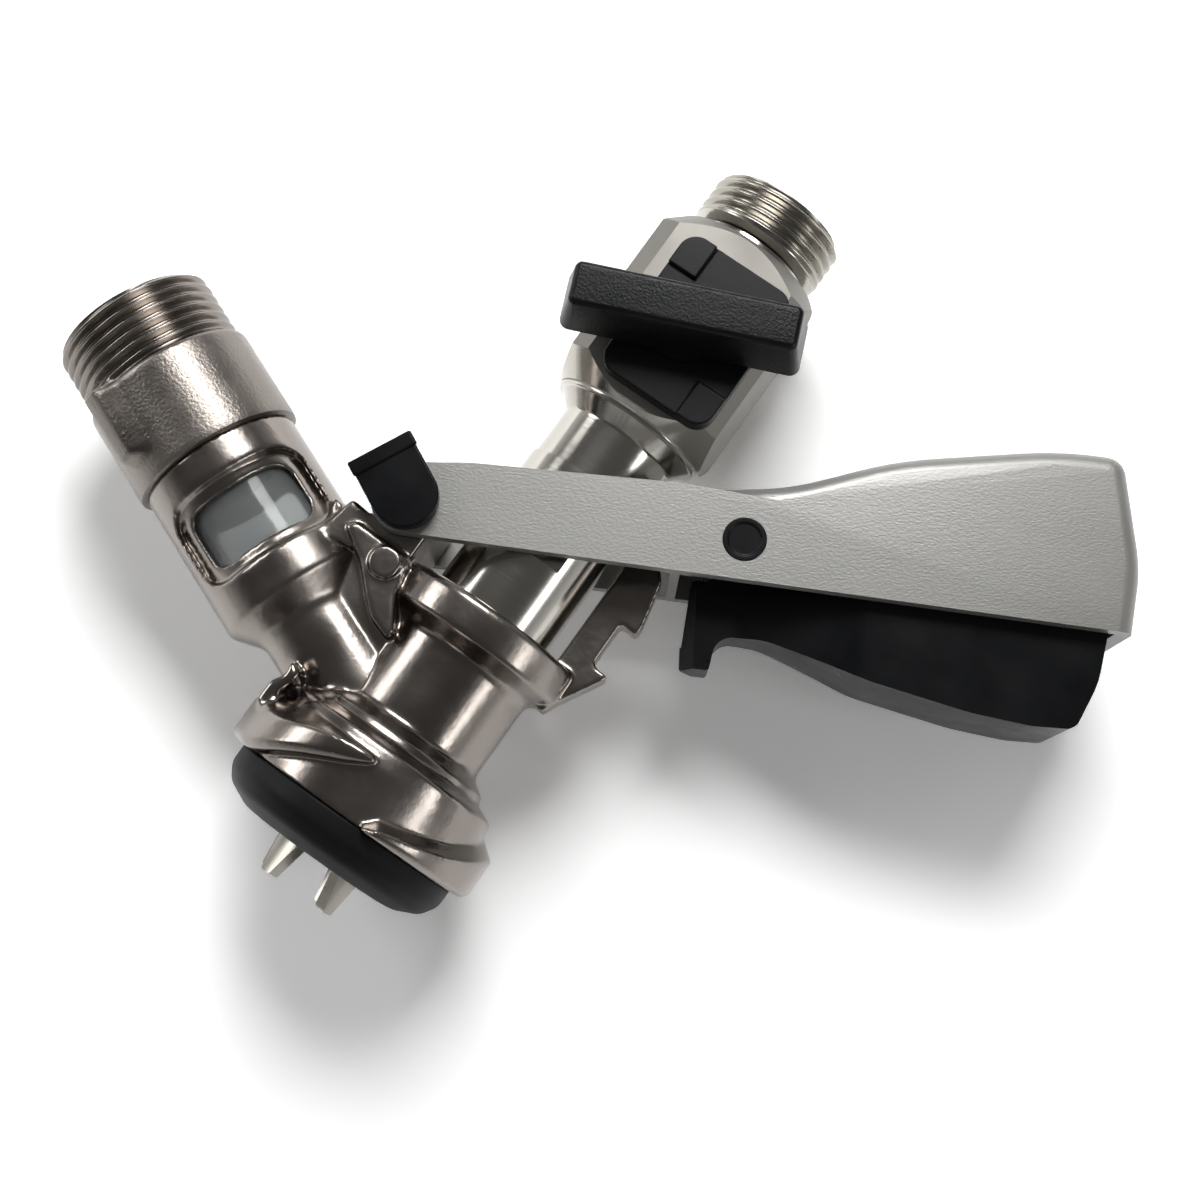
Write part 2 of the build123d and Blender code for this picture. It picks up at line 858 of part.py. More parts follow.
def trigger():
    """Black squeeze handle: hollow moulding on a hub, with a slotted front leg."""
    half = plate_inside - side_gap
    body = slab(trigger_outline(), half, lever_frame) & trigger_plan()
    body += crossbar(hub_radius, half, trigger_s, trigger_t, lever_frame)
    pocket = outline(
        (58.0, 8.0),
        (58.0, -10.7, 1.5),
        (65.4, -13.1),
        (71.4, -15.0, 20.0),
        (87.8, -17.8, 20.0),
        (97.0, -18.5, 8.0),
        (101.6, -18.1, 1.5),
        (104.0, -12.6),
        (104.8, -4.7),
        (104.4, 8.0),
    )
    body -= slab(pocket, half, lever_frame) & trigger_plan(trigger_wall)
    wall_back = leg_wall_back
    leg_pocket = outline(
        (wall_back, -13.4),
        (wall_back + 2.5, -13.4),
        (wall_back + 2.5, leg_top - 1.4),
        (wall_back + 2.0, leg_top + 1),
        (wall_back, leg_top + 1),
    )
    body -= slab(leg_pocket, slot_half, lever_frame)
    cut_frame = Plane(
        origin=lever_frame.from_local_coords((leg_left - 1, 0, 0)),
        x_dir=(0, 1, 0),
        z_dir=lever_frame.x_dir,
    )
    vee = outline((-slot_half, -leg_top - 1), (slot_half, -leg_top - 1),
                  (0.5, -leg_foot - 3.6), (-0.5, -leg_foot - 3.6))
    vee = mirror(vee, about=Plane.XZ)
    up = cut_frame.y_dir.dot(lever_frame.y_dir)
    if up < 0:
        vee = mirror(vee, about=Plane.XZ)
    body -= extrude(cut_frame * vee, amount=wall_back - leg_left + 1.2)
    for side in (1, -1):
        low, high = (spring_pocket_inner, spring_pocket_outer)
        if side < 0:
            low, high = -high, -low
        coil_room = layer(Pos(trigger_s, trigger_t) * Circle(hub_radius + 2.2), low, high,
                          lever_frame)
        hub_core = layer(Pos(trigger_s, trigger_t) * Circle(hub_radius), low, high, lever_frame)
        body -= coil_room - hub_core
    body -= crossbar(trigger_pin_radius + hinge_gap, half + 1, trigger_s, trigger_t, lever_frame)
    return body


def latch_bolt():
    """Steel bolt in the lever's cross wall. The trigger's front wall pushes its cross pin."""
    bar = slab(
        outline(
            (bolt_tip, bolt_low, 0.3),
            (bolt_tip + bolt_length, bolt_low),
            (bolt_tip + bolt_length, bolt_low + bolt_height, 0.4),
            (bolt_tip, bolt_low + bolt_height, 0.3),
        ),
        bolt_half, lever_frame)
    pin_s = leg_wall_back + fit_gap + bolt_pin_radius
    column = slab(
        outline(
            (bolt_tip + bolt_length - 1.4, bolt_low + 1),
            (bolt_tip + bolt_length, bolt_low + 1),
            (pin_s + 0.7, bolt_pin_t),
            (pin_s - 0.7, bolt_pin_t),
        ),
        bolt_column_half, lever_frame)
    return bar + column + crossbar(bolt_pin_radius, bolt_pin_half, pin_s, bolt_pin_t, lever_frame)


def trigger_spring():
    """Double torsion spring round the trigger's hub."""
    coil_radius = hub_radius + wire_radius + fit_gap
    width = spring_pocket_outer - spring_pocket_inner - 2 * wire_radius - 2 * fit_gap
    pitch = width / coil_turns
    coils = []
    for side in (1, -1):
        start = spring_pocket_inner + wire_radius + fit_gap
        if side < 0:
            start = -spring_pocket_outer + wire_radius + fit_gap
        path = Helix(pitch, width, coil_radius)
        section = Plane(origin=path @ 0, z_dir=path % 0) * Circle(wire_radius)
        coil = sweep(section, path=path, is_frenet=True)
        place = lever_frame.location * Pos(trigger_s, trigger_t, start)
        coils.append(place * coil)
    return Compound(children=coils)


# Probe
def stud_place():
    """Where the lever's drive studs lie at rest."""
    angle = radians(lever_angle)
    x = pivot_x + stud_s * cos(angle) - stud_t * sin(angle)
    z = pivot_z + stud_s * sin(angle) + stud_t * cos(angle)
    return x, z


def probe():
    """Stainless probe: pronged nose, waist for the gas, guide and drive groove."""
    groove_floor = probe_radius - ring_groove_depth
    body = turned(
        (probe_bore, prong_root),
        (probe_nose_radius, prong_root),
        (probe_nose_radius, probe_waist_bottom),
        (probe_radius, probe_waist_top),
        (probe_radius, probe_top),
        (spigot_radius, probe_top),
        (spigot_radius, probe_top - spigot_length),
        (probe_bore, probe_top - spigot_length),
    )
    for number in range(2):
        low = lower_ring_z + number * ring_pitch
        body -= tube(probe_radius + 1, groove_floor, low, low + ring_groove_width)
    body -= tube(probe_nose_radius + 1, probe_nose_radius - nose_ring_depth,
                 nose_ring_z, nose_ring_z + nose_ring_width)
    prong = slab(
        outline(
            (-prong_root_width / 2, prong_root),
            (-prong_tip_width / 2, -prong_drop, 0.5),
            (prong_tip_width / 2, -prong_drop, 0.5),
            (prong_root_width / 2, prong_root),
        ),
        probe_nose_radius + 1)
    turns = [Rot(0, 0, prong_turn + number * 360 / prong_count) * prong
             for number in range(prong_count // 2)]
    crown = tube(probe_nose_radius, prong_inner, -prong_drop, prong_root)
    crown &= turns[0] + turns[1]
    body += crown
    stud_z = stud_place()[1]
    low = stud_z - stud_radius - stud_gap
    high = stud_z + stud_radius + stud_gap
    for side in (1, -1):
        cutter = Box(4 * probe_radius, probe_radius, high - low)
        body -= Pos(0, side * (flat_half + probe_radius / 2), (low + high) / 2) * cutter
    return body


def probe_orings():
    """Two rings that seal the probe in the body's bore."""
    centre = probe_radius + slide_gap - hinge_gap - ring_section
    rings = []
    for number in range(2):
        z = lower_ring_z + number * ring_pitch + ring_groove_width / 2
        section = Plane.XZ * (Pos(centre, z) * Circle(ring_section))
        rings.append(revolve(section, Axis.Z))
    return Compound(children=rings)


def probe_tip_seal():
    """Rubber ring above the prongs, which seals on the keg's own valve."""
    inner = probe_nose_radius - nose_ring_depth
    high = nose_ring_z + nose_ring_width
    return turned(
        (inner, nose_ring_z),
        (probe_nose_radius + nose_ring_proud, nose_ring_z, 0.5),
        (probe_nose_radius + nose_ring_proud, high, 0.5),
        (inner, high),
    )


# Ball valve
def valve_body():
    """Eight-sided stainless valve body with a turned neck and spigot below."""
    width = valve_half
    cut = valve_half - valve_corner
    section = outline((width, cut), (cut, width), (-cut, width), (-width, cut),
                      (-width, -cut), (-cut, -width), (cut, -width), (width, -cut))
    corner = sqrt(width**2 + cut**2) + 0.2
    prism = extrude(Plane.XY.offset(probe_top) * section, amount=valve_top - probe_top)
    cone = corner - valve_neck_radius
    crown = corner - valve_crown_radius
    shape = turned(
        (0, probe_top),
        (valve_neck_radius, probe_top),
        (valve_neck_radius, valve_neck_top, 0.8),
        (corner, valve_neck_top + cone),
        (corner, valve_top - crown),
        (valve_crown_radius, valve_top, 1.2),
        (0, valve_top),
    )
    body = prism & shape
    body += rod(spigot_radius, probe_top - spigot_length, probe_top)
    body -= rod(ball_bore, probe_top - spigot_length - 1, valve_top)
    body -= rod(chamber_radius, valve_z - seat_far, valve_top + 1)
    body -= layer(Pos(0, valve_z) * Circle(stem_radius + hinge_gap), 0, valve_half + 1)
    body -= layer(Pos(0, valve_z) * Circle(stem_head_radius + hinge_gap), 0,
                  chamber_radius + stem_head_thickness)
    return body - layer(Pos(0, valve_z) * Circle(stem_radius + stem_ring_section),
                        valve_half - stem_ring_width, valve_half + 1)


def valve_ball():
    """Ball with a through bore along the handle's bar, and a slot for the stem."""
    ball = Pos(0, 0, valve_z) * Sphere(ball_radius)
    bore = handle_frame.location * Rot(0, 90, 0) * Cylinder(ball_bore, 3 * ball_radius)
    ball -= bore
    depth = ball_radius - tang_depth
    slot = Rectangle(tang_height + 3.0, tang_width + 2 * hinge_gap)
    return ball - layer(slot, depth, ball_radius + 1, handle_frame)


def ball_seats():
    """Two seat rings, one below and one above the ball."""
    hollow = Pos(0, 0, valve_z) * Sphere(ball_radius + fit_gap)
    outer = chamber_radius - fit_gap
    lower = tube(outer, ball_bore, valve_z - seat_far, valve_z - seat_near) - hollow
    upper = tube(outer, ball_bore, valve_z + seat_near, valve_z + seat_far) - hollow
    keep = stem_head_radius + 1.0
    window = layer(Pos(0, valve_z) * Circle(keep), 0, chamber_radius + 1)
    return Compound(children=[lower - window, upper - window])


def valve_stem():
    """Stem from the ball out to the handle, with a tang, a head and a square end."""
    head_back = chamber_radius + stem_head_thickness - hinge_gap
    tang_start = ball_radius - tang_depth + hinge_gap
    stem = layer(Circle(stem_head_radius), ball_radius + fit_gap, head_back, handle_frame)
    stem &= rod_along_y(stem_head_radius, ball_radius, head_back + 1)
    stem += layer(Rectangle(tang_height, tang_width), tang_start, ball_radius + 1, handle_frame)
    stem += layer(Circle(stem_radius), head_back - 0.5, stop_face, handle_frame)
    stem += layer(Rectangle(square_side, square_side), stop_face - 0.5,
                  handle_back + bar_depth * 0.6, handle_frame)
    return stem


def rod_along_y(radius, near, far):
    """Round bar on the handle's axis between two depths."""
    return layer(Circle(radius), near, far, handle_frame)


def stem_seal():
    """Ring round the stem, outside the stem's head."""
    near = valve_half - stem_ring_width
    ring = Circle(stem_radius + stem_ring_section) - Circle(stem_radius + hinge_gap)
    return layer(ring, near, valve_half, handle_frame)


def outlet_nipple():
    """Nipple with the beer thread, screwed into the valve body over the upper seat."""
    bottom = valve_z + seat_far
    thread_start = outlet_top - outlet_thread_length
    nipple = turned(
        (ball_bore, bottom),
        (chamber_radius, bottom),
        (chamber_radius, valve_top - outlet_ring_depth),
        (outlet_neck_radius, valve_top),
        (outlet_neck_radius, thread_start - 1.2),
        (outlet_thread_radius, thread_start),
        (outlet_thread_radius, outlet_top - thread_chamfer),
        (outlet_thread_radius - thread_chamfer, outlet_top),
        (outlet_mouth_radius, outlet_top),
        (outlet_mouth_radius, outlet_top - outlet_mouth_depth),
        (ball_bore, outlet_top - outlet_mouth_depth - 2.0),
    )
    groove_low = bottom + 2.0
    return nipple - tube(chamber_radius + 1, chamber_radius - outlet_ring_depth,
                         groove_low, groove_low + outlet_ring_width)


def nipple_seal():
    """Ring in the nipple's groove, inside the valve body."""
    low = valve_z + seat_far + 2.0
    return tube(chamber_radius, chamber_radius - outlet_ring_depth, low,
                low + outlet_ring_width)


def stop_plate():
    """Black plate under the handle, with raised stops in two opposite corners."""
    centre = Pos(stop_shift_x, valve_z + stop_shift_z)
    sheet = centre * RectangleRounded(stop_width, stop_length, stop_corner)
    plate = layer(sheet, valve_half, stop_face)
    for side in (1, -1):
        corner = Pos(-side * (stop_width - stop_block_width) / 2,
                     side * (stop_length - stop_block_length) / 2)
        block = sheet & (centre * corner * Rectangle(stop_block_width, stop_block_length))
        plate += layer(block, stop_face - 0.5, stop_face + stop_block_height)
    return plate - layer(Pos(0, valve_z) * Circle(stem_radius + fit_gap), 0, stop_face + 1)


def valve_handle():
    """Black T-handle: a tapered bar on a round hub."""
    tip_length = bar_length - 2 * bar_depth * tan(radians(bar_draft))
    tip_width = bar_width - 2 * bar_depth * tan(radians(bar_draft))
    back = handle_frame.offset(handle_back) * RectangleRounded(bar_length, bar_width, bar_corner)
    front = handle_frame.offset(handle_back + bar_depth) * RectangleRounded(
        tip_length, tip_width, bar_corner * 0.7)
    bar = loft([back, front])
    bar = fillet(bar.edges().group_by(Axis.Y)[0], bar_edge)
    hub = layer(Circle(handle_hub_radius) - Circle(stem_radius + fit_gap),
                stop_face + fit_gap, handle_back + 0.5, handle_frame)
    body = bar + hub
    body -= layer(Circle(stem_radius + fit_gap), stop_face - 1, handle_back, handle_frame)
    return body - layer(Rectangle(square_side, square_side), stop_face - 1,
                        handle_back + bar_depth * 0.6, handle_frame)


nodes = {
    "coupler_body": coupler_body,
    "base_seal": base_seal,
    "sight_glass": sight_glass,
    "sight_glass_seals": sight_glass_seals,
    "gas_inlet_union": gas_inlet_union,
    "union_seal": union_seal,
    "gas_check_valve": gas_check_valve,
    "hinge_pin": hinge_pin,
    "hinge_clip": hinge_clip,
    "lever": lever,
    "trigger_pin": trigger_pin,
    "trigger": trigger,
    "latch_bolt": latch_bolt,
    "trigger_spring": trigger_spring,
    "probe": probe,
    "probe_orings": probe_orings,
    "probe_tip_seal": probe_tip_seal,
    "valve_body": valve_body,
    "valve_ball": valve_ball,
    "ball_seats": ball_seats,
    "valve_stem": valve_stem,
    "stem_seal": stem_seal,
    "outlet_nipple": outlet_nipple,
    "nipple_seal": nipple_seal,
    "stop_plate": stop_plate,
    "valve_handle": valve_handle,
}

os.makedirs("parts", exist_ok=True)
for name, make in nodes.items():
    export_step(make(), f"parts/{name}.step")
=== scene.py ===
from math import atan2, cos, pi, radians, sin, tan

import bmesh
import bpy
from mathutils import Matrix, Vector


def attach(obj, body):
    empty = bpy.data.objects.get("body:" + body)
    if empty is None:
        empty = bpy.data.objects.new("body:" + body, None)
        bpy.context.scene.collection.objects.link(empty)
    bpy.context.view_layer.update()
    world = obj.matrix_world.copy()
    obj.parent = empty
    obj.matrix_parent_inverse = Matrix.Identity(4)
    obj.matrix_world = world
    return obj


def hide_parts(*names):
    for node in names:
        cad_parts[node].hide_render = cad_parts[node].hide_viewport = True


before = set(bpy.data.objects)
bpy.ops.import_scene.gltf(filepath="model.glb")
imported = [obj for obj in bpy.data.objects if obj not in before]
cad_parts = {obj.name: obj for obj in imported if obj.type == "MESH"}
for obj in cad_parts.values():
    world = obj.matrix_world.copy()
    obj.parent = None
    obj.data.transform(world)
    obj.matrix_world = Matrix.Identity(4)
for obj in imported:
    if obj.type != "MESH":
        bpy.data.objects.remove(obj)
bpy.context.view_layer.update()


# Camera: it looks down on the coupler as it lies on a white table. It is rolled, so
# that the probe leans to the right in the picture. All lengths in this file are metres.
camera_data = bpy.data.cameras.new("photo_camera")
camera_data.lens = 58.83
camera_data.sensor_width = 36.0
camera_data.clip_start = 0.01
camera_data.shift_x = 0.00805
camera_data.shift_y = -0.04357
camera = bpy.data.objects.new("photo_camera", camera_data)
bpy.context.scene.collection.objects.link(camera)
look_right = Vector((0.81803, 0.00581, 0.57514)).normalized()
look_up = -Vector((0.56251, 0.20061, -0.80209)).normalized()
look_back = -Vector((-0.12004, 0.97965, 0.16083)).normalized()
camera_place = (0.04311, -0.30112, 0.01522)
camera_turn = Matrix((look_right, look_up, look_back)).transposed()
camera.matrix_world = Matrix.Translation(camera_place) @ camera_turn.to_4x4()
bpy.context.scene.camera = camera


# Table: a painted white sheet behind the coupler, which shows white in the picture and
# in the metal, and takes the coupler's soft shadow. Seen nearly edge-on it is plain
# white, so that it has no grey streak, and from behind it can't be seen.
table_white = 0.94
table_shown = 1.42
table_back = 0.0235
table_half = 0.9
edge_on_from = 0.55
edge_on_full = 0.85
table_mesh = bmesh.new()
bmesh.ops.create_grid(table_mesh, x_segments=1, y_segments=1, size=table_half)
bmesh.ops.rotate(table_mesh, verts=table_mesh.verts, matrix=Matrix.Rotation(radians(90), 3, "X"))
bmesh.ops.translate(table_mesh, verts=table_mesh.verts, vec=(0.02, table_back, 0.07))
table_data = bpy.data.meshes.new("table")
table_mesh.to_mesh(table_data)
table_mesh.free()
table = bpy.data.objects.new("table", table_data)
bpy.context.scene.collection.objects.link(table)
white_paint = bpy.data.materials.new("white_table")
white_paint.use_nodes = True
nodes = white_paint.node_tree.nodes
links = white_paint.node_tree.links
nodes.clear()
paint_out = nodes.new("ShaderNodeOutputMaterial")
paint = nodes.new("ShaderNodeBsdfDiffuse")
seen = nodes.new("ShaderNodeLightPath")
direct = nodes.new("ShaderNodeMath")
direct.operation = "MAXIMUM"
links.new(seen.outputs["Is Camera Ray"], direct.inputs[0])
links.new(seen.outputs["Is Transmission Ray"], direct.inputs[1])
shown = nodes.new("ShaderNodeMath")
shown.operation = "MAXIMUM"
links.new(direct.outputs[0], shown.inputs[0])
links.new(seen.outputs["Is Glossy Ray"], shown.inputs[1])
white = nodes.new("ShaderNodeMix")
white.data_type = "RGBA"
white.clamp_factor = True
white.inputs["A"].default_value = (table_white, table_white, table_white, 1.0)
white.inputs["B"].default_value = (table_shown, table_shown, table_shown, 1.0)
links.new(shown.outputs[0], white.inputs["Factor"])
links.new(white.outputs["Result"], paint.inputs["Color"])
clear = nodes.new("ShaderNodeBsdfTransparent")
side = nodes.new("ShaderNodeMixShader")
facing = nodes.new("ShaderNodeNewGeometry")
links.new(facing.outputs["Backfacing"], side.inputs["Fac"])
links.new(paint.outputs[0], side.inputs[1])
links.new(clear.outputs[0], side.inputs[2])
glance = nodes.new("ShaderNodeLayerWeight")
glance.inputs["Blend"].default_value = 0.5
edge_on = nodes.new("ShaderNodeMapRange")
edge_on.inputs["From Min"].default_value = edge_on_from
edge_on.inputs["From Max"].default_value = edge_on_full
links.new(glance.outputs["Facing"], edge_on.inputs["Value"])
seen_edge_on = nodes.new("ShaderNodeMath")
seen_edge_on.operation = "MULTIPLY"
links.new(edge_on.outputs["Result"], seen_edge_on.inputs[0])
links.new(seen.outputs["Is Camera Ray"], seen_edge_on.inputs[1])
plain_white = nodes.new("ShaderNodeEmission")
plain_white.inputs["Strength"].default_value = 1.0
sheet = nodes.new("ShaderNodeMixShader")
links.new(seen_edge_on.outputs[0], sheet.inputs["Fac"])
links.new(side.outputs[0], sheet.inputs[1])
links.new(plain_white.outputs[0], sheet.inputs[2])
links.new(sheet.outputs[0], paint_out.inputs["Surface"])
table_data.materials.append(white_paint)


# Studio light: a white room behind the table, a dimmer one in front of it, and three
# large soft lamps on the picture's upper side, its left and its right. Where the camera
# looks straight past the table, or through clear plastic, the room is plain white.
world = bpy.data.worlds.new("studio")
bpy.context.scene.world = world
world.use_nodes = True
nodes = world.node_tree.nodes
links = world.node_tree.links
room_front = 0.10
room_back = 0.95
front_to = 0.30
back_from = 0.60
room = nodes["Background"]
room.inputs["Strength"].default_value = 1.0
way = nodes.new("ShaderNodeTexCoord")
split = nodes.new("ShaderNodeSeparateXYZ")
links.new(way.outputs["Generated"], split.inputs[0])
room_ramp = nodes.new("ShaderNodeValToRGB")
room_ramp.color_ramp.elements[0].position = front_to
room_ramp.color_ramp.elements[0].color = (room_front, room_front, room_front, 1.0)
room_ramp.color_ramp.elements[1].position = back_from
room_ramp.color_ramp.elements[1].color = (room_back, room_back, room_back, 1.0)
lift = nodes.new("ShaderNodeMapRange")
lift.inputs["From Min"].default_value = -1.0
lift.inputs["From Max"].default_value = 1.0
links.new(split.outputs["Y"], lift.inputs["Value"])
links.new(lift.outputs["Result"], room_ramp.inputs["Fac"])
room_seen = nodes.new("ShaderNodeLightPath")
straight = nodes.new("ShaderNodeMath")
straight.operation = "MAXIMUM"
links.new(room_seen.outputs["Is Camera Ray"], straight.inputs[0])
links.new(room_seen.outputs["Is Transmission Ray"], straight.inputs[1])
room_colour = nodes.new("ShaderNodeMix")
room_colour.data_type = "RGBA"
links.new(straight.outputs[0], room_colour.inputs["Factor"])
links.new(room_ramp.outputs["Color"], room_colour.inputs["A"])
room_colour.inputs["B"].default_value = (1.0, 1.0, 1.0, 1.0)
links.new(room_colour.outputs["Result"], room.inputs["Color"])


coupler_middle = Vector((0.01, 0.0, 0.06))


def soft_lamp(name, place, width, height, power):
    """Large oblong lamp, aimed at the middle of the coupler."""
    data = bpy.data.lights.new(name, "AREA")
    data.shape = "RECTANGLE"
    data.size = width
    data.size_y = height
    data.energy = power
    lamp = bpy.data.objects.new(name, data)
    bpy.context.scene.collection.objects.link(lamp)
    aim = (coupler_middle - Vector(place)).to_track_quat("-Z", "Y")
    lamp.matrix_world = Matrix.Translation(place) @ aim.to_matrix().to_4x4()


soft_lamp("upper_lamp", (-0.16, -0.50, 0.42), 0.34, 0.22, 3.6)
soft_lamp("left_lamp", (-0.50, -0.28, 0.00), 0.16, 0.30, 1.0)
soft_lamp("right_lamp", (0.55, -0.30, 0.10), 0.12, 0.34, 0.8)


# Coupler body: forged, tumbled and plated with dark tin and nickel. Its edges are all
# rounded by the dies, so the solid is remeshed finely and smoothed, and smoothed more
# at the small post beside the left lug and at the window rims.
join_reach = 0.000004


def join_triangles(node):
    """Mesh of a CAD solid with its loose triangles joined."""
    mesh = bmesh.new()
    mesh.from_mesh(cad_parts[node].data)
    bmesh.ops.remove_doubles(mesh, verts=mesh.verts, dist=join_reach)
    return mesh


def place_piece(mesh, name, body, node):
    """Object of a finished mesh that rides on a body and stands for a CAD node."""
    data = bpy.data.meshes.new(name)
    mesh.to_mesh(data)
    mesh.free()
    piece = bpy.data.objects.new(name, data)
    bpy.context.scene.collection.objects.link(piece)
    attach(piece, body)
    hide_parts(node)
    return piece


def new_finish(name, base, metallic, roughness, **plain):
    """Material with a Principled shader. Its other plain values are set by socket name."""
    finish = bpy.data.materials.new(name)
    finish.use_nodes = True
    shader = finish.node_tree.nodes["Principled BSDF"]
    shader.inputs["Base Color"].default_value = (*base, 1.0)
    shader.inputs["Metallic"].default_value = metallic
    shader.inputs["Roughness"].default_value = roughness
    for socket, value in plain.items():
        shader.inputs[socket.replace("_", " ")].default_value = value
    return finish, finish.node_tree.nodes, finish.node_tree.links, shader


def value_group(name, inputs, outputs):
    """Empty node group with float or vector inputs and outputs."""
    group = bpy.data.node_groups.new(name, "ShaderNodeTree")
    for label, kind, start in inputs:
        socket = group.interface.new_socket(label, in_out="INPUT", socket_type=kind)
        if start is not None:
            socket.default_value = start
    for label, kind in outputs:
        group.interface.new_socket(label, in_out="OUTPUT", socket_type=kind)
    entry = group.nodes.new("NodeGroupInput")
    leave = group.nodes.new("NodeGroupOutput")
    return group, entry, leave


# Two noises: a fine grain for the bump, and slow patches for colour and gloss
surface_grain, entry, leave = value_group(
    "surface_grain",
    [("Position", "NodeSocketVector", None), ("Grain Scale", "NodeSocketFloat", 900.0),
     ("Patch Scale", "NodeSocketFloat", 60.0)],
    [("Grain", "NodeSocketFloat"), ("Patches", "NodeSocketFloat")])
for output, scale, detail in (("Grain", "Grain Scale", 4.0), ("Patches", "Patch Scale", 3.0)):
    noise = surface_grain.nodes.new("ShaderNodeTexNoise")
    noise.inputs["Detail"].default_value = detail
    surface_grain.links.new(entry.outputs["Position"], noise.inputs["Vector"])
    surface_grain.links.new(entry.outputs[scale], noise.inputs["Scale"])
    surface_grain.links.new(noise.outputs["Fac"], leave.inputs[output])


def varied_gloss(finish_parts, source, smooth, rough):
    """Lets a noise move a finish's roughness between two values."""
    nodes, links, shader = finish_parts[1:]
    gloss = nodes.new("ShaderNodeMapRange")
    gloss.inputs["From Min"].default_value = 0.3
    gloss.inputs["From Max"].default_value = 0.7
    gloss.inputs["To Min"].default_value = smooth
    gloss.inputs["To Max"].default_value = rough
    links.new(source, gloss.inputs["Value"])
    links.new(gloss.outputs["Result"], shader.inputs["Roughness"])


def raised_grain(finish_parts, source, depth):
    """Lets a noise raise a finish's skin by a depth."""
    nodes, links, shader = finish_parts[1:]
    bump = nodes.new("ShaderNodeBump")
    bump.inputs["Strength"].default_value = 1.0
    bump.inputs["Distance"].default_value = depth
    links.new(source, bump.inputs["Height"])
    links.new(bump.outputs["Normal"], shader.inputs["Normal"])


def grained(finish_parts, dark, light, smooth, rough, grain_scale, patch_scale, depth,
            stretch=(1, 1, 1), turn=(0, 0, 0)):
    """Adds patchy colour, patchy gloss and a grain bump to a finish."""
    finish, nodes, links, shader = finish_parts
    place = nodes.new("ShaderNodeTexCoord")
    mapping = nodes.new("ShaderNodeMapping")
    mapping.vector_type = "TEXTURE"
    mapping.inputs["Scale"].default_value = stretch
    mapping.inputs["Rotation"].default_value = turn
    grain = nodes.new("ShaderNodeGroup")
    grain.node_tree = surface_grain
    grain.inputs["Grain Scale"].default_value = grain_scale
    grain.inputs["Patch Scale"].default_value = patch_scale
    links.new(place.outputs["Object"], mapping.inputs["Vector"])
    links.new(mapping.outputs["Vector"], grain.inputs["Position"])
    colour = nodes.new("ShaderNodeMix")
    colour.data_type = "RGBA"
    colour.inputs["A"].default_value = (*dark, 1.0)
    colour.inputs["B"].default_value = (*light, 1.0)
    links.new(grain.outputs["Patches"], colour.inputs["Factor"])
    links.new(colour.outputs["Result"], shader.inputs["Base Color"])
    varied_gloss(finish_parts, grain.outputs["Patches"], smooth, rough)
    raised_grain(finish_parts, grain.outputs["Grain"], depth)
    return finish


plating = grained(new_finish("tin_nickel_plating", (0.4, 0.37, 0.35), 1.0, 0.25),
                  (0.195, 0.173, 0.157), (0.31, 0.28, 0.255), 0.15, 0.31, 700.0, 70.0, 0.000035)


def evaluated_mesh(piece):
    """Mesh of an object with its modifiers worked in."""
    evaluated = piece.evaluated_get(bpy.context.evaluated_depsgraph_get())
    mesh = bmesh.new()
    mesh.from_mesh(evaluated.to_mesh())
    evaluated.to_mesh_clear()
    return mesh


forging_voxel = 0.00027
forging_share = 0.34
forging_rounds = 14
post_rounds = 26
window_rounds = 20
post_low = (-0.0212, -0.0140, 0.0142)
post_high = (-0.0100, -0.0020, 0.0255)
branch_lean = radians(67.8)
branch_root = Vector((0.0, 0.0, 0.0221))
branch_along = Vector((-sin(branch_lean), 0.0, cos(branch_lean)))
window_side = 0.0035
window_start = 0.0325
window_end = 0.0495
body_mesh = join_triangles("coupler_body")
rough_forging = bpy.data.meshes.new("rough_forging")
body_mesh.to_mesh(rough_forging)
body_mesh.free()
forging = bpy.data.objects.new("rough_forging", rough_forging)
bpy.context.scene.collection.objects.link(forging)
grid = forging.modifiers.new("grid", "REMESH")
grid.mode = "VOXEL"
grid.voxel_size = forging_voxel
rounding = forging.modifiers.new("rounding", "SMOOTH")
rounding.factor = 0.5
rounding.iterations = forging_rounds
body_mesh = evaluated_mesh(forging)
forging.modifiers.clear()
post_skin = [
    vert for vert in body_mesh.verts
    if all(low < place < high for low, place, high in zip(post_low, vert.co, post_high))]
window_skin = [
    vert for vert in body_mesh.verts
    if abs(vert.co.y) > window_side
    and window_start < (vert.co - branch_root).dot(branch_along) < window_end]
for skin, rounds in ((post_skin, post_rounds), (window_skin, window_rounds)):
    for round_off in range(rounds):
        bmesh.ops.smooth_vert(body_mesh, verts=skin, factor=0.5, use_axis_x=True, use_axis_y=True,
                              use_axis_z=True)
body_mesh.to_mesh(rough_forging)
body_mesh.free()
thinning = forging.modifiers.new("thinning", "DECIMATE")
thinning.ratio = forging_share
body_mesh = evaluated_mesh(forging)
bpy.data.objects.remove(forging)
bpy.data.meshes.remove(rough_forging)
for face in body_mesh.faces:
    face.smooth = True
forged_body = place_piece(body_mesh, "forged_body", "body", "coupler_body")
forged_body.data.materials.append(plating)


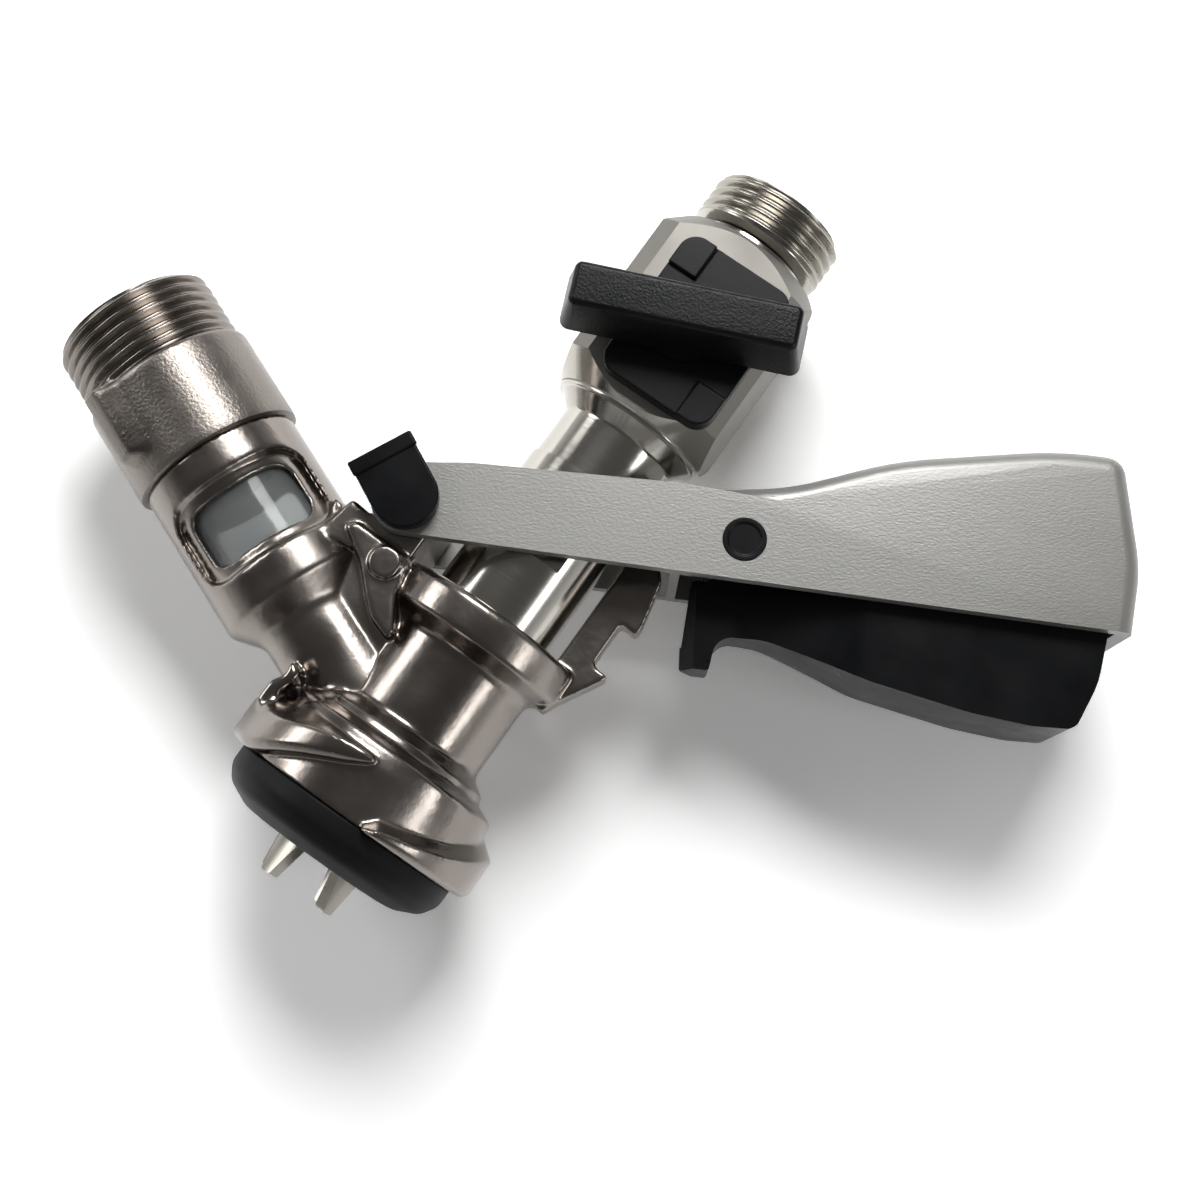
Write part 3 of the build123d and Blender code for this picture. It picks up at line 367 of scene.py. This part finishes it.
# Base seal: one ring of black rubber, moulded, with a soft matt skin. Its tongue is
# pressed into a groove in the base.
def finished_copy(node, name, body, finish, edge=0.0, segments=3, sharp=32.0, tidy=0.6):
    """Copy of a CAD solid with smooth curves and, where the real piece has them, soft edges."""
    mesh = join_triangles(node)
    bmesh.ops.dissolve_limit(mesh, angle_limit=radians(tidy), verts=mesh.verts, edges=mesh.edges)
    for face in mesh.faces:
        face.smooth = True
    for seam in mesh.edges:
        seam.smooth = len(seam.link_faces) == 2 and seam.calc_face_angle() < radians(sharp)
    piece = place_piece(mesh, name, body, node)
    if edge:
        soften = piece.modifiers.new("soft_edges", "BEVEL")
        soften.width = edge
        soften.segments = segments
        soften.limit_method = "ANGLE"
        soften.angle_limit = radians(sharp)
        soften.harden_normals = True
    piece.data.materials.append(finish)
    return piece


def rounded_outline(corners, arc_steps=6):
    """Points of a closed outline. A third number at a corner rounds it with an arc."""
    points = []
    for place, corner in enumerate(corners):
        here = Vector(corner[:2])
        if len(corner) < 3:
            points.append(tuple(here))
            continue
        back = (Vector(corners[place - 1][:2]) - here).normalized()
        ahead = (Vector(corners[(place + 1) % len(corners)][:2]) - here).normalized()
        half = back.angle(ahead) / 2
        centre = here + (back + ahead).normalized() * corner[2] / sin(half)
        start = (here + back * corner[2] / tan(half) - centre).normalized()
        end = (here + ahead * corner[2] / tan(half) - centre).normalized()
        for step in range(arc_steps + 1):
            points.append(tuple(centre + start.slerp(end, step / arc_steps) * corner[2]))
    return points


def turned_solid(outline, steps, sharp=38.0):
    """Closed solid turned about Z from points of radius and height."""
    mesh = bmesh.new()
    ring = [mesh.verts.new((r, 0.0, z)) for r, z in outline]
    edges = [mesh.edges.new((a, b)) for a, b in zip(ring, ring[1:] + ring[:1])]
    bmesh.ops.spin(mesh, geom=ring + edges, cent=(0, 0, 0), axis=(0, 0, 1), angle=2 * pi,
                   steps=steps, use_merge=True)
    bmesh.ops.remove_doubles(mesh, verts=mesh.verts, dist=0.000001)
    bmesh.ops.recalc_face_normals(mesh, faces=mesh.faces)
    for face in mesh.faces:
        face.smooth = True
    for seam in mesh.edges:
        seam.smooth = seam.calc_face_angle() < radians(sharp)
    return mesh


seal_skin = grained(new_finish("seal_rubber_skin", (0.006, 0.006, 0.006), 0.0, 0.55,
                               Specular_IOR_Level=0.14),
                    (0.004, 0.0042, 0.0044), (0.008, 0.0082, 0.0085), 0.46, 0.60, 2400.0, 90.0, 0.00001)
seal_bore = 0.0100
seal_rim = 0.0192
seal_top = 0.0090
seal_flat = 0.0017
tongue_top = seal_top + 0.0024
tongue_inside = 0.0124
tongue_outside = 0.0170
seal_outline = rounded_outline([
    (seal_bore, seal_flat + 0.0010),
    (seal_bore + 0.0010, seal_flat, 0.0004),
    (0.0137, seal_flat, 0.0040),
    (seal_rim - 0.0016, seal_flat + 0.0018, 0.0032),
    (seal_rim, 0.0060, 0.0032),
    (seal_rim, seal_top, 0.0003),
    (tongue_outside, seal_top),
    (tongue_outside, tongue_top),
    (tongue_inside, tongue_top),
    (tongue_inside, seal_top),
    (seal_bore, seal_top)])
keg_seal = place_piece(turned_solid(seal_outline, 144), "keg_seal", "body", "base_seal")
keg_seal.data.materials.append(seal_skin)


# Sight glass: a clear plastic tube behind the windows, so that foam and gas are seen.
# A square rubber ring seals each of its ends.
clear_tube = new_finish("clear_tube", (0.60, 0.62, 0.62), 0.0, 0.12,
                        Transmission_Weight=0.88, IOR=1.3)[0]
finished_copy("sight_glass", "clear_sight_tube", "body", clear_tube)
ring_rubber = grained(new_finish("ring_rubber", (0.015, 0.015, 0.015), 0.0, 0.45),
                      (0.012, 0.012, 0.012), (0.022, 0.022, 0.022), 0.38, 0.52, 2500.0, 120.0, 0.000006)


def dress(node, finish):
    """Gives a CAD node that is right as it is its real finish."""
    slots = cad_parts[node].data.materials
    slots.clear()
    slots.append(finish)


dress("sight_glass_seals", ring_rubber)
dress("union_seal", ring_rubber)
dress("gas_check_valve", ring_rubber)


# Gas inlet union: cast and plated, left rough on its barrel, with two lugs for a
# spanner. Its pipe thread is turned, 14 turns to the inch, and it screws into the housing.
branch_place = Matrix.Translation(branch_root) @ Matrix.Rotation(-branch_lean, 4, "Y")
pitch = 0.001814
rows_per_turn = 12
thread_depth = 0.00105
thread_sharp = 48.0
thread_run_in = 0.0014
crest_share = 0.14
flank_share = 0.72
first_turn_depth = 0.35


def turned_thread(outline, low, high, major, steps, chamfer):
    """Closed turned solid. Between two heights its skin is cut with a right-hand thread."""
    points = []
    for (r0, z0), (r1, z1) in zip(outline, outline[1:] + outline[:1]):
        is_thread = abs(r0 - major) < 1e-6 and abs(r1 - major) < 1e-6
        pieces = max(1, round(abs(z1 - z0) / (pitch / rows_per_turn))) if is_thread else 1
        for part in range(pieces):
            share = part / pieces
            points.append((r0 + (r1 - r0) * share, z0 + (z1 - z0) * share))
    mesh = turned_solid(points, steps)
    for vert in mesh.verts:
        radius = vert.co.xy.length
        if radius < major - 0.0001 or not low - 0.0001 < vert.co.z < high + 0.0001:
            continue
        phase = (vert.co.z / pitch - atan2(vert.co.y, vert.co.x) / (2 * pi)) % 1.0
        flank = min(1.0, max(0.0, (abs(phase - 0.5) * 2 - crest_share) / flank_share))
        fade = min(1.0, max(0.0, (vert.co.z - low) / thread_run_in))
        cone = major - max(0.0, vert.co.z - (high - chamfer))
        cut = first_turn_depth + (1.0 - first_turn_depth) * fade
        target = min(cone, major - thread_depth * flank * cut)
        vert.co.xy *= target / radius
    for face in mesh.faces:
        face.material_index = 1 if face.calc_center_median().z > low - 0.0002 else 0
    for seam in mesh.edges:
        seam.smooth = seam.calc_face_angle() < radians(thread_sharp)
    return mesh


union_low = 0.0512
union_shoulder = 0.0535
union_end = 0.0698
union_radius = 0.0139
union_spigot = 0.01045
union_bore = 0.0080
gas_rim = 0.0814
gas_thread = 0.013217
hose_bore = 0.0096
hose_bore_end = gas_rim - 0.0090
rim_chamfer = 0.0009
barrel_steps = 30
barrel_low = union_shoulder + 0.0009
barrel_high = union_end - 0.0009
union_outline = [
    (union_bore, union_low),
    (union_spigot, union_low),
    (union_spigot, union_shoulder),
    (0.0133, union_shoulder),
    (0.0138, union_shoulder + 0.0003)]
for step in range(barrel_steps + 1):
    union_outline.append((union_radius, barrel_low + (barrel_high - barrel_low) * step / barrel_steps))
union_outline += [
    (0.01375, union_end - 0.0003),
    (gas_thread, union_end),
    (gas_thread, gas_rim),
    (0.0112, gas_rim),
    (hose_bore, gas_rim),
    (hose_bore, hose_bore_end),
    (union_bore, hose_bore_end)]
union_mesh = turned_thread(union_outline, union_end, gas_rim, gas_thread, 168, rim_chamfer)


def soft_step(value, low, high):
    """Rises smoothly from 0 to 1 between two values."""
    share = min(1.0, max(0.0, (value - low) / (high - low)))
    return share * share * (3.0 - 2.0 * share)


# Two spanner lugs swell out of the barrel, steep on one side and long on the other
lug_crest = union_radius + 0.0017
lug_angles = (-136, 44)
lug_steep_side = (-0.0028, -0.0019)
lug_long_side = (0.0006, 0.0042)
lug_rise = (union_shoulder + 0.0034, union_shoulder + 0.0056)
lug_fall = (union_end + 0.0004, union_end + 0.0014)
lug_end = union_end + 0.0015
lug_root = gas_thread + 0.0004
outer_skin = 0.0118
for vert in union_mesh.verts:
    radius = vert.co.xy.length
    if radius < outer_skin or not union_shoulder < vert.co.z < lug_end:
        continue
    for centre in lug_angles:
        around = (atan2(vert.co.y, vert.co.x) - radians(centre) + pi) % (2 * pi) - pi
        across = around * union_radius
        width = soft_step(across, *lug_steep_side) * (1.0 - soft_step(across, *lug_long_side))
        length = soft_step(vert.co.z, *lug_rise) * (1.0 - soft_step(vert.co.z, *lug_fall))
        vert.co.xy *= 1.0 + (lug_crest - radius) * width * length / radius
for face in union_mesh.faces:
    middle = face.calc_center_median()
    if middle.z < lug_end and middle.xy.length > lug_root:
        face.material_index = 0
bmesh.ops.transform(union_mesh, matrix=branch_place, verts=union_mesh.verts)
gas_union = place_piece(union_mesh, "gas_union", "body", "gas_inlet_union")
cast_skin = grained(new_finish("cast_plated_skin", (0.4, 0.37, 0.34), 1.0, 0.4),
                    (0.16, 0.142, 0.127), (0.27, 0.245, 0.222), 0.26, 0.40, 1900.0, 90.0, 0.00008)
cut_thread = grained(new_finish("cut_plated_thread", (0.4, 0.37, 0.34), 1.0, 0.25),
                     (0.19, 0.168, 0.15), (0.29, 0.265, 0.24), 0.20, 0.30, 500.0, 140.0, 0.000002)
gas_union.data.materials.append(cast_skin)
gas_union.data.materials.append(cut_thread)


# Hinge: a steel pin through the body's ear and the lever, under a clip of black
# plastic that snaps over both of its ends. Each side of the clip ends in a raised lip.
black_moulding = grained(new_finish("black_moulding", (0.006, 0.006, 0.007), 0.0, 0.4,
                                    Specular_IOR_Level=0.15),
                         (0.003, 0.0032, 0.0038), (0.006, 0.0063, 0.0072), 0.26, 0.36,
                         2000.0, 130.0, 0.00001)
plain_steel = grained(new_finish("plain_steel", (0.5, 0.5, 0.49), 1.0, 0.3),
                      (0.44, 0.44, 0.43), (0.58, 0.58, 0.57), 0.22, 0.34, 900.0, 160.0, 0.00001)
dress("hinge_pin", plain_steel)
hinge_cap = finished_copy("hinge_clip", "hinge_cap", "body", black_moulding, edge=0.0006)
hinge_place = Matrix.Translation((-0.0193, 0.0, 0.0528)) @ Matrix.Rotation(radians(-154), 4, "Y")
cap_side = 0.0160
lip_size = (0.0024, 0.0010, 0.0107)
lip_reach = 0.0071
cap_mesh = bmesh.new()
cap_mesh.from_mesh(hinge_cap.data)
for side in (-1, 1):
    lip = bmesh.ops.create_cube(cap_mesh, size=1.0)["verts"]
    bmesh.ops.scale(cap_mesh, verts=lip, vec=lip_size)
    bmesh.ops.translate(cap_mesh, verts=lip, vec=(lip_reach, side * cap_side, 0.0))
    bmesh.ops.transform(cap_mesh, matrix=hinge_place, verts=lip)
cap_mesh.to_mesh(hinge_cap.data)
cap_mesh.free()


# Lever: cast in light metal, with two fork plates and a hollow grip. Its skin has a
# fine matt grain that runs along the grip. The trigger's pin has black heads, recessed.
lever_turn = (0.0, -radians(27.0), 0.0)
lever_skin = grained(new_finish("matt_cast_lever", (0.33, 0.325, 0.31), 0.6, 0.45),
                     (0.265, 0.262, 0.25), (0.325, 0.32, 0.305), 0.38, 0.50, 3600.0, 50.0, 0.000036,
                     stretch=(2.2, 1.0, 1.0), turn=lever_turn)
finished_copy("lever", "lever_casting", "lever", lever_skin, edge=0.0007)
pin_heads = finished_copy("trigger_pin", "trigger_pin_heads", "lever", black_moulding,
                          edge=0.0002)
head_rim = 0.0007
head_recess = 0.0002
head_side = 0.0134
facing_side = 0.99
head_mesh = bmesh.new()
head_mesh.from_mesh(pin_heads.data)
head_tops = [
    face for face in head_mesh.faces
    if abs(face.normal.y) > facing_side and abs(face.calc_center_median().y) > head_side]
bmesh.ops.inset_region(head_mesh, faces=head_tops, thickness=head_rim, depth=0.0,
                       use_even_offset=True)
bmesh.ops.inset_region(head_mesh, faces=head_tops, thickness=head_recess, depth=-head_recess,
                       use_even_offset=True)
head_mesh.to_mesh(pin_heads.data)
head_mesh.free()


# Trigger: moulded in black plastic, hollow, with a slotted front leg. It turns on the
# pin in the lever, and two wire coils push it back.
finished_copy("trigger", "squeeze_trigger", "trigger", black_moulding, edge=0.0006)
dress("trigger_spring", plain_steel)
dress("latch_bolt", plain_steel)


# Probe: turned from stainless steel and left bright, with four pegs at its nose. A
# rubber ring above the pegs seals on the keg's valve.
turning_marks, entry, leave = value_group(
    "turning_marks",
    [("Position", "NodeSocketVector", None), ("Marks Per Metre", "NodeSocketFloat", 5000.0)],
    [("Height", "NodeSocketFloat")])
along = turning_marks.nodes.new("ShaderNodeSeparateXYZ")
times = turning_marks.nodes.new("ShaderNodeMath")
times.operation = "MULTIPLY"
marks = turning_marks.nodes.new("ShaderNodeTexNoise")
marks.noise_dimensions = "1D"
marks.inputs["Scale"].default_value = 1.0
marks.inputs["Detail"].default_value = 3.0
turning_marks.links.new(entry.outputs["Position"], along.inputs[0])
turning_marks.links.new(along.outputs["Z"], times.inputs[0])
turning_marks.links.new(entry.outputs["Marks Per Metre"], times.inputs[1])
turning_marks.links.new(times.outputs[0], marks.inputs["W"])
turning_marks.links.new(marks.outputs["Fac"], leave.inputs["Height"])


def lathe_turned(finish_parts, marks_per_metre, depth, smooth, rough):
    """Adds the fine rings of a lathe, in height and in gloss."""
    finish, nodes, links, shader = finish_parts
    place = nodes.new("ShaderNodeTexCoord")
    rings = nodes.new("ShaderNodeGroup")
    rings.node_tree = turning_marks
    rings.inputs["Marks Per Metre"].default_value = marks_per_metre
    links.new(place.outputs["Object"], rings.inputs["Position"])
    varied_gloss(finish_parts, rings.outputs["Height"], smooth, rough)
    raised_grain(finish_parts, rings.outputs["Height"], depth)
    return finish


bright_steel = lathe_turned(new_finish("bright_turned_steel", (0.50, 0.48, 0.44), 1.0, 0.18),
                            7000.0, 0.000006, 0.10, 0.22)
probe = finished_copy("probe", "bright_probe", "probe", bright_steel, edge=0.0003)
peg_steel = grained(new_finish("satin_peg_steel", (0.3, 0.285, 0.25), 1.0, 0.3),
                    (0.24, 0.228, 0.20), (0.34, 0.325, 0.29), 0.24, 0.36, 900.0, 160.0, 0.00001)
peg_root = 0.0045
probe.data.materials.append(peg_steel)
for face in probe.data.polygons:
    face.material_index = 1 if face.center.z < peg_root else 0
finished_copy("probe_tip_seal", "probe_nose_ring", "probe", seal_skin, edge=0.0002)
dress("probe_orings", ring_rubber)


# Ball valve: an eight-sided stainless body, bead-blasted on its flats and its top, and
# turned bright on its lower cone and its neck, where a thin ring stands proud. Inside are
# a ball, two white seats and a stem.
blasted_steel = grained(new_finish("blasted_steel", (0.55, 0.53, 0.50), 1.0, 0.4),
                        (0.205, 0.197, 0.180), (0.265, 0.254, 0.232), 0.48, 0.58, 3200.0, 110.0, 0.00001)
valve = finished_copy("valve_body", "ball_valve_body", "probe", blasted_steel,
                      edge=0.0013, segments=4)
valve.data.materials.append(bright_steel)
collar_radius = 0.01300
collar_root = 0.0118
collar_z = 0.0836
collar_half = 0.0006
collar_outline = rounded_outline([
    (collar_root, collar_z - collar_half),
    (collar_radius - 0.0002, collar_z - collar_half, 0.0002),
    (collar_radius, collar_z - 0.0001, 0.0002),
    (collar_radius, collar_z + collar_half),
    (collar_root, collar_z + collar_half)], arc_steps=3)
collar = turned_solid(collar_outline, 96)
collar.from_mesh(valve.data)
collar.to_mesh(valve.data)
collar.free()
flats_low = 0.082
flats_tilt = 0.05
blasted_above = 0.100
for face in valve.data.polygons:
    flat = abs(face.normal.z) < flats_tilt and face.center.z > flats_low
    face.material_index = 0 if flat or face.center.z > blasted_above else 1
white_seat = grained(new_finish("white_seat_plastic", (0.8, 0.8, 0.78), 0.0, 0.4),
                     (0.78, 0.78, 0.75), (0.84, 0.84, 0.82), 0.35, 0.45, 1500.0, 90.0, 0.000005)
polished_steel = grained(new_finish("polished_ball_steel", (0.7, 0.7, 0.69), 1.0, 0.08),
                         (0.68, 0.68, 0.67), (0.74, 0.74, 0.73), 0.05, 0.12, 1200.0, 80.0, 0.000002)
dress("ball_seats", white_seat)
dress("stem_seal", ring_rubber)
finished_copy("valve_ball", "polished_ball", "valve_handle", polished_steel)
dress("valve_stem", plain_steel)


# Outlet nipple: turned stainless, screwed into the valve body, with the beer line's
# pipe thread cut on its end.
outlet_top = 0.1271
outlet_low = 0.1195
outlet_thread = 0.011455
outlet_bore = 0.0050
tail_bore = 0.0080
nipple_foot = 0.1080
nipple_radius = 0.0106
groove_radius = 0.0096
neck_radius = 0.0098
nipple_outline = [
    (outlet_bore, nipple_foot),
    (nipple_radius, nipple_foot),
    (nipple_radius, 0.1100),
    (groove_radius, 0.1100),
    (groove_radius, 0.1116),
    (nipple_radius, 0.1116),
    (nipple_radius, 0.1159),
    (neck_radius, 0.1169),
    (neck_radius, outlet_low - 0.0012),
    (outlet_thread, outlet_low),
    (outlet_thread, outlet_top),
    (0.0095, outlet_top),
    (tail_bore, outlet_top),
    (tail_bore, outlet_top - 0.0050),
    (outlet_bore, outlet_top - 0.0070)]
nipple_mesh = turned_thread(nipple_outline, outlet_low, outlet_top, outlet_thread, 144, rim_chamfer)
nipple = place_piece(nipple_mesh, "threaded_nipple", "probe", "outlet_nipple")
thread_steel = grained(new_finish("cut_steel_thread", (0.62, 0.59, 0.53), 1.0, 0.2),
                       (0.30, 0.283, 0.25), (0.42, 0.40, 0.36), 0.20, 0.30, 500.0, 150.0, 0.000002)
nipple.data.materials.append(bright_steel)
nipple.data.materials.append(thread_steel)
dress("nipple_seal", ring_rubber)


# Valve handle: a T-bar moulded in black plastic with a leather-like grain on its face,
# on a square stem, over a black stop plate.
leather_moulding = grained(new_finish("leather_grain_moulding", (0.006, 0.006, 0.007), 0.0, 0.4,
                                      Specular_IOR_Level=0.18),
                           (0.003, 0.0032, 0.0038), (0.006, 0.0063, 0.0072), 0.28, 0.38,
                           2600.0, 130.0, 0.00006)
finished_copy("stop_plate", "handle_stop_plate", "probe", black_moulding, edge=0.0004)
finished_copy("valve_handle", "t_handle", "valve_handle", leather_moulding, edge=0.0012,
              segments=4)


# Picture: colours show as they are written.
bpy.context.scene.view_settings.view_transform = "Standard"
